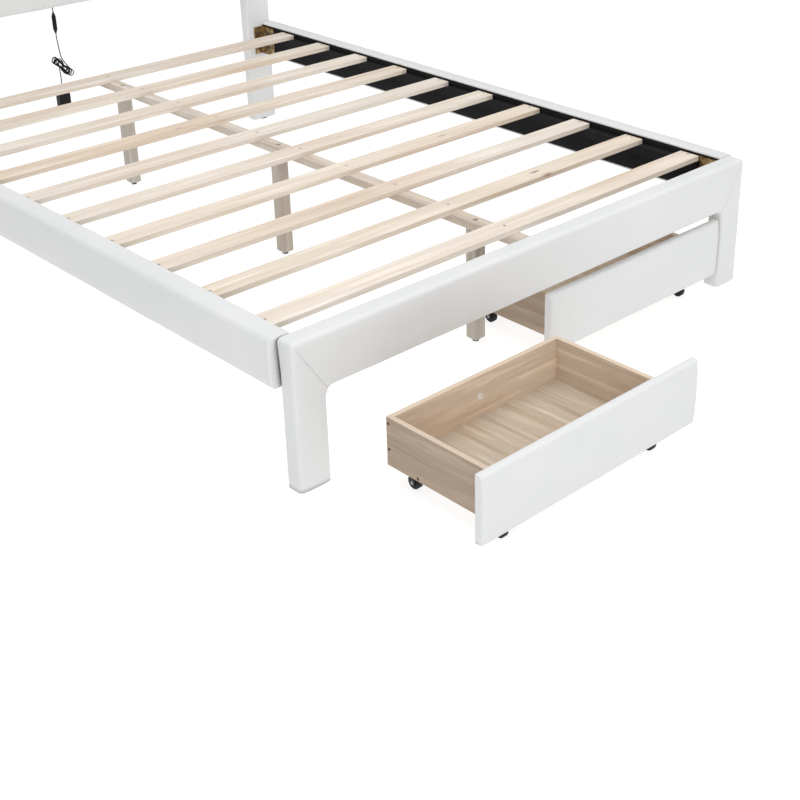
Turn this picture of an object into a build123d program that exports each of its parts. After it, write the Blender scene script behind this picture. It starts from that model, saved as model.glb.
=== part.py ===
from build123d import *
import os
from math import atan2, degrees, pi

# Platform bed for a full-size mattress, upholstered in white leather, with two drawers that
# roll out from under the footboard. Millimetres. +X is to the right of someone who stands at
# the foot, +Y runs from foot to head, and +Z is up. The origin is on the floor, in the middle
# of the bed and its pulled-out left drawer.

os.makedirs("parts", exist_ok=True)

# ---- Driving dimensions -------------------------------------------------------------------

# Overall frame
overall_width = 1496.0           # over the side rails
rail_proud = 18.0                # a padded rail stands out past the footboard and headboard
clear_length = 1933.0            # footboard to headboard, for a 1905 mattress
rail_top = 340.0
rail_height = 110.0
rail_thickness = 53.0
rail_end_gap = 1.5               # open line between a rail's end and the boards it meets

# Footboard
foot_thickness = 48.0
foot_leg_width = 80.0
foot_beam_height = 124.0
foot_corner_radius = 20.0

# Headboard
head_thickness = 36.0
head_post_width = 95.0
head_panel_bottom = 524.0
head_top = 1060.0

# Padding: foam and leather round the boards
pad = 7.0
pad_edge_radius = 6.0
rail_pad_top = 6.0
rail_pad_bottom = 4.0
rail_pad_side = 25.0
lining_thickness = 2.0

# Feet
leg_glide_height = 4.0
leg_glide_radius = 15.0
centre_glide_height = 7.0
centre_glide_radius = 8.0
glide_stud_radius = 2.5
glide_stud_length = 15.0

# Slats and what carries them
slat_count = 10
slat_width = 60.0
slat_thickness = 13.0
slat_end_gap = 4.0
slat_drop = 11.0                 # slat tops below the rail tops
foot_slat_gap = 67.0             # footboard to the first slat
head_slat_gap = 119.0            # headboard to the last slat
ledger_width = 24.0
ledger_height = 25.0
centre_rail_width = 36.0
centre_rail_thickness = 20.0
centre_rail_overhang = 32.0
centre_leg_side = 32.0
centre_leg_chamfer = 3.0
centre_leg_foot_gap = 192.0      # footboard to the first leg's middle
centre_leg_head_gap = 227.0      # headboard to the last leg's middle
centre_leg_offset = 7.0          # the middle leg stands this far short of midway

# Corner brackets and bolts
bracket_top_gap = 11.0           # below the rail's top
bracket_rail_flange = 65.0
bracket_end_flange = 36.0
bracket_thickness = 2.5
bracket_lift = 6.0               # above the rail's lower edge
bolt_radius = 3.0
bolt_head_radius = 6.5
bolt_head_height = 4.0
bolt_bite = 15.0                 # how far a bolt goes into the board
bolt_edge = 22.0                 # from a bracket's end to its bolt
screw_radius = 1.8
screw_head_radius = 3.75
screw_head_height = 2.5
screw_bite = 18.0
leg_bolt_radius = 3.0
leg_bolt_head_radius = 5.5
leg_bolt_head_height = 4.0
leg_bolt_bite = 30.0             # into a centre leg
leg_bolt_hole_radius = 6.5       # the round well over its head, in the centre rail
leg_bolt_sink = 6.0

# Lighting strip on the back of the headboard, and its cord
led_width = 10.0
led_thickness = 3.0
led_inset = 60.0
gland_size = (24.0, 14.0, 24.0)
gland_nose = 14.0
cord_diameter = 3.0
cord_x = -52.0
connector_radius = 6.5
connector_length = 65.0
connector_taper = 13.0
connector_top = 500.0
hank_middle = (-45.5, 329.0)
hank_length = 82.0
hank_width = 26.0
hank_depth = 24.0
hank_waist = 15.0
hank_run = (61.0, -71.0)         # direction of the hank's long axis, in X and Z
cord_lower_x = -56.0
adapter_size = (38.0, 27.0, 64.0)
adapter_top = 246.0
adapter_nose = 12.0
pin_size = (1.5, 17.0, 6.3)
pin_spacing = 12.7

# Drawers
drawer_gap = 8.0                 # between the legs and fronts, and between the fronts
drawer_top_gap = 20.0            # front to the footboard's beam
drawer_front_thickness = 20.0
drawer_pad = 3.5
drawer_box_inset = 68.0          # from each end of the front
drawer_box_drop = 40.0           # box top below the front's top
drawer_box_depth = 318.0
drawer_board = 12.0
left_pull = 424.0                # the left drawer stands open, the right one is shut
drawer_dowel_radius = 4.0
drawer_dowel_edge = 28.0         # above the box's lower edge, and below its upper edge
drawer_dowel_bite = 9.0
drawer_dowel_length = 27.0
drawer_screw_length = 37.0
drawer_rear_screw_drops = (14.0, 74.0)   # below the box's top
drawer_floor_screw_front = 14.0
drawer_floor_screw_rear = 90.0
cap_radius = 7.0
cap_hole_radius = 3.0
cap_thickness = 1.5

# Casters
wheel_radius = 16.0
wheel_width = 14.0
wheel_edge = 2.0
wheel_top_gap = 10.0             # under the caster's plate
caster_side_inset = 27.0
caster_front_inset = 26.0
caster_rear_inset = 53.0
caster_plate = (34.0, 40.0, 2.0)
cheek_thickness = 2.0
cheek_width = 16.0
cheek_gap = 0.6
axle_radius = 2.5
axle_head_radius = 4.0
axle_head_height = 1.0
running_clearance = 0.05
seat_clearance = 0.05            # round every bolt, screw, stud and dowel

# ---- Derived places -----------------------------------------------------------------------

rail_outer = overall_width / 2
half_width = rail_outer - rail_proud     # of the footboard and headboard
bed_depth = foot_thickness + clear_length + head_thickness + led_thickness
foot_front = (left_pull - bed_depth) / 2
foot_back = foot_front + foot_thickness
head_front = foot_back + clear_length
head_back = head_front + head_thickness
rail_start = foot_back + rail_end_gap
rail_end = head_front - rail_end_gap
rail_inner = rail_outer - rail_thickness
rail_bottom = rail_top - rail_height
foot_beam_bottom = rail_top - foot_beam_height
bracket_low = rail_bottom + bracket_lift
bracket_high = rail_top - bracket_top_gap
slat_top = rail_top - slat_drop
slat_bottom = slat_top - slat_thickness
head_post_inner = half_width - head_post_width
foot_leg_inner = half_width - foot_leg_width


# ---- Small helpers ------------------------------------------------------------------------

def block(x, y, z):
    """A box from three (low, high) pairs."""
    low, high = zip(x, y, z)
    size = [b - a for a, b in zip(low, high)]
    return Pos(*[(a + b) / 2 for a, b in zip(low, high)]) * Box(*size)


def rod(start, direction, radius, length):
    """A cylinder that begins at a point and runs along a direction."""
    place = Plane(origin=start, z_dir=direction).location
    return place * Cylinder(radius, length, align=(Align.CENTER, Align.CENTER, Align.MIN))


def screw(seat, direction, head_radius, head_height, radius, length, sunk):
    """A bolt or screw: the head on its seat, or sunk under it, and a shank along direction."""
    way = Vector(*direction)
    head_start = Vector(*seat) if sunk else Vector(*seat) - way * head_height
    head = rod(head_start, direction, head_radius, head_height)
    return head + rod(seat, direction, radius, length)


def without(body, cutters, clearance=seat_clearance):
    """A body with a seat for each (seat, direction, head_radius, head_height, radius, length, sunk)."""
    for seat, way, head_radius, head_height, radius, length, sunk in cutters:
        bore = rod(seat, way, radius + clearance, length + clearance)
        if sunk:
            bore = bore + rod(seat, way, head_radius + clearance, head_height)
        body = body - bore
    return body


def edges_at(shape, axis, place):
    """The edges of a shape that lie in the plane across an axis at a place."""
    return shape.edges().filter_by_position(axis, place - 0.01, place + 0.01)


def save(name, *shapes):
    """Write one node; several shapes become a group of separate solids."""
    solids = [s for shape in shapes for s in shape.solids()]
    whole = solids[0] if len(solids) == 1 else Compound(children=solids)
    export_step(whole, f"parts/{name}.step")


# ---- Fastener places ----------------------------------------------------------------------

def bracket_bolts(side, end):
    """The four bolts of one corner: two into the rail, two into the board that the rail meets.
    side is -1 left or 1 right; end is -1 at the footboard or 1 at the headboard."""
    wall = foot_back if end < 0 else head_front
    bolts = []
    for z in (bracket_low + bolt_edge, bracket_high - bolt_edge):
        rail_seat = (side * (rail_inner - bracket_thickness),
                     wall - end * bracket_rail_flange / 2, z)
        end_seat = (side * (rail_inner - bracket_end_flange / 2),
                    wall - end * bracket_thickness, z)
        rail_length = bracket_thickness + lining_thickness + bolt_bite
        end_length = bracket_thickness + pad + bolt_bite
        bolts.append((rail_seat, (side, 0, 0), bolt_head_radius, bolt_head_height,
                      bolt_radius, rail_length, False))
        bolts.append((end_seat, (0, end, 0), bolt_head_radius, bolt_head_height,
                      bolt_radius, end_length, False))
    return bolts


slat_pitch = (clear_length - foot_slat_gap - head_slat_gap - slat_width) / (slat_count - 1)
slat_starts = [foot_back + foot_slat_gap + i * slat_pitch for i in range(slat_count)]
slat_screw_x = (-(rail_inner - ledger_width / 2), 0.0, rail_inner - ledger_width / 2)


def slat_screws(start):
    """One screw at each end of a slat and one over the centre rail."""
    middle = start + slat_width / 2
    length = slat_thickness + screw_bite
    return [((x, middle, slat_top), (0, 0, -1), screw_head_radius, screw_head_height,
             screw_radius, length, True) for x in slat_screw_x]


all_bolts = [b for side in (-1, 1) for end in (-1, 1) for b in bracket_bolts(side, end)]
all_slat_screws = [s for start in slat_starts for s in slat_screws(start)]
centre_rail_bottom = slat_bottom - centre_rail_thickness
first_leg = foot_back + centre_leg_foot_gap
last_leg = head_front - centre_leg_head_gap
middle_leg = (first_leg + last_leg) / 2 - centre_leg_offset
leg_middles = (first_leg, middle_leg, last_leg)
leg_bolts = [((0, y, slat_bottom - leg_bolt_sink), (0, 0, -1), leg_bolt_head_radius,
              leg_bolt_head_height, leg_bolt_radius,
              centre_rail_thickness - leg_bolt_sink + leg_bolt_bite, True) for y in leg_middles]


# ---- Footboard ----------------------------------------------------------------------------

def footboard_outline():
    """The footboard from the front: a beam on two legs, with rounded inner corners."""
    beam = Pos(0, (rail_top + foot_beam_bottom) / 2) * Rectangle(
        2 * half_width, rail_top - foot_beam_bottom)
    outline = Sketch() + beam
    for side in (-1, 1):
        outline += Pos(side * (half_width - foot_leg_width / 2), (rail_top + leg_glide_height) / 2) * \
            Rectangle(foot_leg_width, rail_top - leg_glide_height)
    corners = [v for v in outline.vertices()
               if abs(v.Y - foot_beam_bottom) < 0.01 and abs(abs(v.X) - foot_leg_inner) < 0.01]
    return fillet(corners, foot_corner_radius)


def footboard_frame():
    """The boards inside: a beam between two legs that run to the top."""
    y = (foot_front + pad, foot_back - pad)
    inner = foot_leg_inner + pad
    beam = block((-inner, inner), y, (foot_beam_bottom + pad, rail_top - pad))
    legs = [block(sorted((side * inner, side * (half_width - pad))), y,
                  (leg_glide_height, rail_top - pad)) for side in (-1, 1)]
    return beam, legs


def footboard():
    """Boards and their padded cover."""
    beam, legs = footboard_frame()
    upright = Plane(origin=(0, foot_front, 0), x_dir=(1, 0, 0), z_dir=(0, -1, 0))
    shell = extrude(upright * footboard_outline(), -foot_thickness)
    rim = [e for e in edges_at(shell, Axis.Y, foot_front) + edges_at(shell, Axis.Y, foot_back)
           if e.center().Z > leg_glide_height + 0.01]
    shell = fillet(rim, pad_edge_radius)
    shell = without(shell - beam - legs[0] - legs[1], all_bolts)
    save("footboard_frame", without(beam, all_bolts), *[without(leg, all_bolts) for leg in legs])
    save("footboard_cover", shell)


# ---- Side rails ---------------------------------------------------------------------------

def side_rail(side):
    """One rail: its board, and the cover round its outer side, top and bottom."""
    outer = side * rail_outer
    inner = side * rail_inner
    y = (rail_start, rail_end)
    board = block(sorted((inner + side * lining_thickness, outer - side * rail_pad_side)), y,
                  (rail_bottom + rail_pad_bottom, rail_top - rail_pad_top))
    cover = block(sorted((inner, outer)), y, (rail_bottom, rail_top))
    long_edges = [e for e in cover.edges().filter_by(Axis.Y)
                  if e.center().Z > rail_top - 0.01 or abs(e.center().X - outer) < 0.01]
    cover = fillet(long_edges, pad_edge_radius)
    lining = block(sorted((inner, inner + side * lining_thickness)), y,
                   (rail_bottom + rail_pad_bottom, rail_top - rail_pad_top))
    return (without(board, all_bolts), without(cover - board - lining, all_bolts),
            without(lining, all_bolts))


def side_rails():
    left = side_rail(-1)
    right = side_rail(1)
    save("side_rail_boards", left[0], right[0])
    save("side_rail_left_cover", left[1])
    save("side_rail_right_cover", right[1])
    save("side_rail_linings", left[2], right[2])


# ---- Slats, ledgers and the centre support ------------------------------------------------

def slat_deck():
    """Ten slats on two ledgers and a centre rail with three legs."""
    reach = rail_inner - slat_end_gap
    for number, start in enumerate(slat_starts, 1):
        slat = block((-reach, reach), (start, start + slat_width), (slat_bottom, slat_top))
        top_edges = [e for e in slat.edges().filter_by(Axis.X) if e.center().Z > slat_top - 0.01]
        save(f"slat_{slat_count + 1 - number:02d}",
             without(fillet(top_edges, 1.5), slat_screws(start)))
    ledgers = []
    for side in (-1, 1):
        ledger = block(sorted((side * rail_inner, side * (rail_inner - ledger_width))),
                       (foot_back + bracket_rail_flange + 5, head_front - bracket_rail_flange - 5),
                       (slat_bottom - ledger_height, slat_bottom))
        ledgers.append(without(ledger, all_slat_screws))
    save("slat_ledgers", *ledgers)

    half = centre_rail_width / 2
    rail = block((-half, half), (slat_starts[0] - centre_rail_overhang, slat_starts[-1] + slat_width),
                 (centre_rail_bottom, slat_bottom))
    rail = without(rail, all_slat_screws + leg_bolts)
    legs = []
    side = centre_leg_side / 2
    for y in leg_middles:
        rail = rail - rod((0, y, slat_bottom), (0, 0, -1), leg_bolt_hole_radius, leg_bolt_sink)
        leg = block((-side, side), (y - side, y + side), (centre_glide_height, centre_rail_bottom))
        leg = chamfer(edges_at(leg, Axis.Z, centre_glide_height), centre_leg_chamfer)
        leg = without(leg, leg_bolts)
        leg = leg - rod((0, y, centre_glide_height), (0, 0, 1), glide_stud_radius + seat_clearance,
                        glide_stud_length + seat_clearance)
        legs.append(leg)
    save("centre_rail", rail)
    save("centre_legs", *legs)


def glides():
    """A nailed disc under each padded leg and a screw-in foot under each centre leg."""
    feet = []
    for side in (-1, 1):
        for x, y in ((half_width - foot_leg_width / 2, (foot_front + foot_back) / 2),
                     (half_width - head_post_width / 2, (head_front + head_back) / 2)):
            feet.append(rod((side * x, y, 0), (0, 0, 1), leg_glide_radius, leg_glide_height))
    for y in leg_middles:
        foot = rod((0, y, 0), (0, 0, 1), centre_glide_radius, centre_glide_height)
        feet.append(foot + rod((0, y, centre_glide_height), (0, 0, 1), glide_stud_radius,
                               glide_stud_length))
    save("leg_glides", *feet)


# ---- Corner hardware ----------------------------------------------------------------------

def corner_hardware():
    """Four steel angles, their bolts, the slat screws and the bolts of the centre legs."""
    brackets = []
    for side in (-1, 1):
        for end in (-1, 1):
            wall = foot_back if end < 0 else head_front
            z = (bracket_low, bracket_high)
            on_rail = block(sorted((side * rail_inner, side * (rail_inner - bracket_thickness))),
                            sorted((wall, wall - end * bracket_rail_flange)), z)
            on_end = block(sorted((side * rail_inner, side * (rail_inner - bracket_end_flange))),
                           sorted((wall, wall - end * bracket_thickness)), z)
            brackets.append(without(on_rail + on_end, all_bolts))
    save("corner_brackets", *brackets)
    save("bracket_bolts", *[screw(*bolt) for bolt in all_bolts])
    save("slat_screws", *[screw(*s) for s in all_slat_screws + leg_bolts])


# ---- Headboard ----------------------------------------------------------------------------

def headboard():
    """Two posts and a panel between them, their cover, the back lining and the light strip."""
    y = (head_front + pad, head_back - lining_thickness)
    inner = head_post_inner + pad
    panel = block((-inner, inner), y, (head_panel_bottom + pad, head_top - pad))
    posts = [block(sorted((side * inner, side * (half_width - pad))), y,
                   (leg_glide_height, head_top - pad)) for side in (-1, 1)]
    gap = block((-head_post_inner, head_post_inner), (head_front - 1, head_back + 1),
                (leg_glide_height - 1, head_panel_bottom))
    shell = block((-half_width, half_width), (head_front, head_back), (leg_glide_height, head_top))
    shell = shell - gap
    rim = [e for e in edges_at(shell, Axis.Y, head_front)
           if e.center().Z > leg_glide_height + 0.01]
    shell = fillet(rim, pad_edge_radius)
    lining = block((-inner, inner), (head_back - lining_thickness, head_back),
                   (head_panel_bottom + pad, head_top - pad))
    for side in (-1, 1):
        lining = lining + block(sorted((side * inner, side * (half_width - pad))),
                                (head_back - lining_thickness, head_back),
                                (leg_glide_height, head_top - pad))
    shell = without(shell - panel - posts[0] - posts[1] - lining, all_bolts)
    save("headboard_frame", panel, *[without(post, all_bolts) for post in posts])
    save("headboard_cover", shell)
    save("headboard_back_lining", lining)

    strip_x = half_width - led_inset
    low = head_panel_bottom + led_inset
    high = head_top - led_inset
    strip_y = (head_back, head_back + led_thickness)
    strips = [block((-strip_x, strip_x), strip_y, (high - led_width, high)),
              block((-strip_x, strip_x), strip_y, (low, low + led_width))]
    for side in (-1, 1):
        strips.append(block(sorted((side * strip_x, side * (strip_x - led_width))), strip_y,
                            (low + led_width, high - led_width)))
    save("led_strip", *strips)


# ---- Power cord ---------------------------------------------------------------------------

cord_radius = cord_diameter / 2
cord_y = head_back + gland_size[1] / 2
gland_top = head_panel_bottom + led_inset
gland_bottom = gland_top - gland_size[2]
cord_exit = gland_bottom - gland_nose
connector_bottom = connector_top - connector_length
adapter_exit = adapter_top + adapter_nose


def turned(profile, x, y):
    """A solid of revolution about a vertical line, from (radius, height) points."""
    face = make_face(Polyline(*[(x + r, y, z) for r, z in profile], close=True))
    return revolve(face, axis=Axis((x, y, 0), (0, 0, 1)))


def hank_solid():
    """The outer shape of the tied hank: a flat oval, pinched at its tie."""
    slot = SlotOverall(hank_length, hank_width)
    bite = hank_length / 2
    depth = (hank_width - hank_waist) / 2
    notch_radius = (bite ** 2 / 4 + depth ** 2) / (2 * depth)
    for side in (-1, 1):
        slot -= Pos(0, side * (hank_waist / 2 + notch_radius)) * Circle(notch_radius)
    body = extrude(slot, hank_depth / 2, both=True)
    tilt = degrees(atan2(hank_run[1], hank_run[0]))
    x, z = hank_middle
    place = Plane(origin=(x, cord_y, z), x_dir=(1, 0, 0), z_dir=(0, -1, 0))
    return place.location * Rot(0, 0, tilt) * body


def hank_centre(x):
    """The height of the hank's centre line at x, where the cord goes into the turns."""
    return hank_middle[1] + (x - hank_middle[0]) * hank_run[1] / hank_run[0]


def power_cord():
    """Gland, cord, in-line connector, tied hank and the plug-in adapter, hanging in one line."""
    wide, deep, tall = gland_size
    gland = block((cord_x - wide / 2, cord_x + wide / 2), (head_back, head_back + deep),
                  (gland_bottom, gland_top))
    gland = fillet(gland.edges().filter_by(Axis.Z), 2)
    nose = [(0, gland_bottom), (5.0, gland_bottom), (cord_radius + 1, cord_exit), (0, cord_exit)]
    save("cable_gland", gland + turned(nose, cord_x, cord_y))

    save("cord_upper", rod((cord_x, cord_y, connector_top), (0, 0, 1), cord_radius,
                           cord_exit - connector_top))
    rim = cord_radius + 0.8
    spindle = [(0, connector_bottom), (rim, connector_bottom),
               (connector_radius, connector_bottom + connector_taper),
               (connector_radius, connector_top - connector_taper),
               (rim, connector_top), (0, connector_top)]
    save("inline_connector", turned(spindle, cord_x, cord_y))

    hank = hank_solid()
    save("cord_hank", hank)
    upper_length = connector_bottom - hank_centre(cord_x)
    upper_run = rod((cord_x, cord_y, connector_bottom), (0, 0, -1), cord_radius, upper_length)
    cord_middle = upper_run - hank
    save("cord_middle", cord_middle)
    lower_length = hank_centre(cord_lower_x) - adapter_exit
    lower_run = rod((cord_lower_x, cord_y, adapter_exit), (0, 0, 1), cord_radius, lower_length)
    cord_lower = lower_run - hank
    save("cord_lower", cord_lower)

    wide, deep, tall = adapter_size
    body = block((cord_lower_x - wide / 2, cord_lower_x + wide / 2),
                 (cord_y - deep / 2, cord_y + deep / 2), (adapter_top - tall, adapter_top))
    body = fillet(body.edges(), 4)
    nose = [(0, adapter_top - 1), (4.5, adapter_top - 1), (4.5, adapter_top),
            (cord_radius + 0.8, adapter_exit), (0, adapter_exit)]
    body = body + turned(nose, cord_lower_x, cord_y)
    back = cord_y + deep / 2
    for side in (-1, 1):
        x = cord_lower_x + side * pin_spacing / 2
        z = adapter_top - tall / 2
        body = body + block((x - pin_size[0] / 2, x + pin_size[0] / 2), (back - 1, back + pin_size[1]),
                            (z - pin_size[2] / 2, z + pin_size[2] / 2))
    save("power_adapter", body)

    section = pi * cord_radius ** 2
    for name, shape in (("cord_middle", cord_middle), ("cord_lower", cord_lower)):
        print(name, "is straight, volume over section", round(shape.volume / section, 1),
              "length", round(shape.bounding_box().size.Z, 1))


# ---- Drawers ------------------------------------------------------------------------------

drawer_front_length = (2 * foot_leg_inner - 3 * drawer_gap) / 2
drawer_middle = (drawer_gap + drawer_front_length) / 2
drawer_box_width = drawer_front_length - 2 * drawer_box_inset
drawer_bottom = 2 * wheel_radius + wheel_top_gap + caster_plate[2]
drawer_front_top = foot_beam_bottom - drawer_top_gap
drawer_box_top = drawer_front_top - drawer_box_drop


def drawer_fasteners(middle, front_inner):
    """Dowels that hold the drawer front, and screws through the sides, as cutter tuples."""
    back = front_inner + drawer_box_depth
    screws = []
    dowels = []
    for side in (-1, 1):
        face = middle + side * drawer_box_width / 2
        way = (-side, 0, 0)
        places = [(back - drawer_board / 2, drawer_box_top - drop)
                  for drop in drawer_rear_screw_drops]
        floor_z = drawer_bottom + drawer_board / 2
        places += [(front_inner + drawer_floor_screw_front, floor_z),
                   (back - drawer_floor_screw_rear, floor_z)]
        for y, z in places:
            screws.append(((face, y, z), way, screw_head_radius, screw_head_height, screw_radius,
                           drawer_screw_length, True))
        for z in (drawer_bottom + drawer_dowel_edge, drawer_box_top - drawer_dowel_edge):
            start = (face - side * drawer_board / 2, front_inner - drawer_dowel_bite, z)
            dowels.append((start, (0, 1, 0), drawer_dowel_radius, 1.0, drawer_dowel_radius,
                           drawer_dowel_length, True))
    return screws, dowels


def drawer(name, middle, front):
    """One drawer: padded front, box, caster set. middle is its x, front its outer face's y."""
    front_inner = front + drawer_front_thickness
    back = front_inner + drawer_box_depth
    screws, dowels = drawer_fasteners(middle, front_inner)
    cutters = screws + dowels

    half = drawer_front_length / 2
    cover = block((middle - half, middle + half), (front, front_inner),
                  (drawer_bottom, drawer_front_top))
    cover = fillet(edges_at(cover, Axis.Y, front), pad_edge_radius)
    board = block((middle - half + drawer_pad, middle + half - drawer_pad),
                  (front + drawer_pad, front_inner),
                  (drawer_bottom + drawer_pad, drawer_front_top - drawer_pad))
    save(f"{name}_front_cover", cover - board)
    save(f"{name}_front_board", without(board, cutters))

    outer = drawer_box_width / 2
    inner = outer - drawer_board
    z = (drawer_bottom, drawer_box_top)
    for side, word in ((-1, "left"), (1, "right")):
        panel = block(sorted((middle + side * outer, middle + side * inner)), (front_inner, back), z)
        save(f"{name}_side_{word}", without(panel, cutters))
    rear = block((middle - inner, middle + inner), (back - drawer_board, back), z)
    save(f"{name}_back", without(rear, cutters))
    floor = block((middle - inner, middle + inner), (front_inner, back - drawer_board),
                  (drawer_bottom, drawer_bottom + drawer_board))
    save(f"{name}_bottom", without(floor, cutters))
    save(f"{name}_fasteners", *[screw(*s) for s in cutters])

    cap_z = (drawer_bottom + drawer_board + drawer_box_top) / 2
    cap_face = back - drawer_board
    ring = rod((middle, cap_face, cap_z), (0, -1, 0), cap_radius, cap_thickness)
    save(f"{name}_cap", ring - rod((middle, cap_face, cap_z), (0, -1, 0), cap_hole_radius, cap_thickness))

    forks = []
    for row, inset in (("front", caster_front_inset), ("rear", drawer_box_depth - caster_rear_inset)):
        for side, word in ((-1, "left"), (1, "right")):
            x = middle + side * (outer - caster_side_inset)
            y = front_inner + inset
            forks += caster(x, y)
            save(f"{name}_wheel_{row}_{word}", wheel(x, y))
    save(f"{name}_casters", *forks)


def wheel(x, y):
    """A solid wheel with a bore for its axle, which lies along X."""
    half = wheel_width / 2
    tread = rod((x - half, y, wheel_radius), (1, 0, 0), wheel_radius, wheel_width)
    tread = fillet(tread.edges().filter_by(GeomType.CIRCLE), wheel_edge)
    return tread - rod((x - half, y, wheel_radius), (1, 0, 0), axle_radius + running_clearance,
                       wheel_width)


def caster(x, y):
    """A fixed fork, a plate with two cheeks, and the riveted axle through them."""
    plate_x, plate_y, plate_z = caster_plate
    fork = block((x - plate_x / 2, x + plate_x / 2), (y - plate_y / 2, y + plate_y / 2),
                 (drawer_bottom - plate_z, drawer_bottom))
    reach = wheel_width / 2 + cheek_gap
    for side in (-1, 1):
        cheek = block(sorted((x + side * reach, x + side * (reach + cheek_thickness))),
                      (y - cheek_width / 2, y + cheek_width / 2),
                      (wheel_radius, drawer_bottom - plate_z))
        round_end = rod((x + side * reach, y, wheel_radius), (side, 0, 0), cheek_width / 2,
                        cheek_thickness)
        fork = fork + cheek + round_end
    outside = reach + cheek_thickness
    fork = fork - rod((x - outside, y, wheel_radius), (1, 0, 0), axle_radius + seat_clearance,
                      2 * outside)
    axle = rod((x - outside, y, wheel_radius), (1, 0, 0), axle_radius, 2 * outside)
    for side in (-1, 1):
        axle = axle + rod((x + side * outside, y, wheel_radius), (side, 0, 0), axle_head_radius,
                          axle_head_height)
    return [fork, axle]


# ---- Build --------------------------------------------------------------------------------

footboard()
side_rails()
slat_deck()
glides()
corner_hardware()
headboard()
power_cord()
drawer("left_drawer", -drawer_middle, foot_front - left_pull)
drawer("right_drawer", drawer_middle, foot_front)
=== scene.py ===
import math

import bmesh
import bpy
from mathutils import Matrix, Vector, noise


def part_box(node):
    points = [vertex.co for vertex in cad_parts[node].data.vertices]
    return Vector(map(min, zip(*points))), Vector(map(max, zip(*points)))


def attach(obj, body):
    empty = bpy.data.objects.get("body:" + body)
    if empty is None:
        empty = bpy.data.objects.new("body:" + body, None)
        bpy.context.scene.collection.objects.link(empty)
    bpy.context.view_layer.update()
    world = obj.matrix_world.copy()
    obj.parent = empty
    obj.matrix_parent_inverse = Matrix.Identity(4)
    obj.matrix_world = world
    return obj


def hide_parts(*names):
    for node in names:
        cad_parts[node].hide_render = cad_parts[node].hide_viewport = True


# Platform bed with storage drawers. Metres. +X right from the foot, +Y foot to head, +Z up.

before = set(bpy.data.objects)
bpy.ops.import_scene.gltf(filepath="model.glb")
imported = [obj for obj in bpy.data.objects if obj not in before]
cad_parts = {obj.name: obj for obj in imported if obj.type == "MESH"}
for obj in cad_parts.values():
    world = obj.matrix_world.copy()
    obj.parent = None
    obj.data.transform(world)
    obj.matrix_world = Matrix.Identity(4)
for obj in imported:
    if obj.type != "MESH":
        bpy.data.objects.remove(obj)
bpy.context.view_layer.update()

# ---- Sizes that the CAD source also has ----------------------------------------------------

FOOT_LEG = 0.080            # width of a footboard leg
FOOT_BEAM = 0.124           # height of the footboard's beam
FOOT_CORNER = 0.020         # radius between leg and beam
HEAD_POST = 0.095           # width of a headboard post
GLIDE = 0.004               # height of the glides under the legs
RAIL_PAD_TOP = 0.006
RAIL_PAD_BOTTOM = 0.004
RAIL_SIDE_PAD = 0.025
PAD = 0.007                 # padding of the headboard
DRAWER_PAD = 0.0035
LED_INSET = 0.060           # from the headboard panel's lower edge up to the light strip
LINING = 0.002
BRACKET_FLANGE = 0.065      # length of a corner bracket along the rail
CORD = 0.003                # diameter

# ---- Sizes of the soft shapes --------------------------------------------------------------

LEG_DRAW = 0.005            # how far the backs of the footboard's legs are drawn in
RAIL_SWELL = 0.003          # how far a rail's padding swells past its end
SWELL_LENGTH = 0.060
TOP_EDGE = 0.012            # both leave the top edge alone, and grow below it
DRAW_FADE = 0.060

foot_low, foot_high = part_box("footboard_cover")
head_low, head_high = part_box("headboard_cover")
half_width = foot_high.x
rail_top = foot_high.z


# ---- Node materials ------------------------------------------------------------------------

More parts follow.
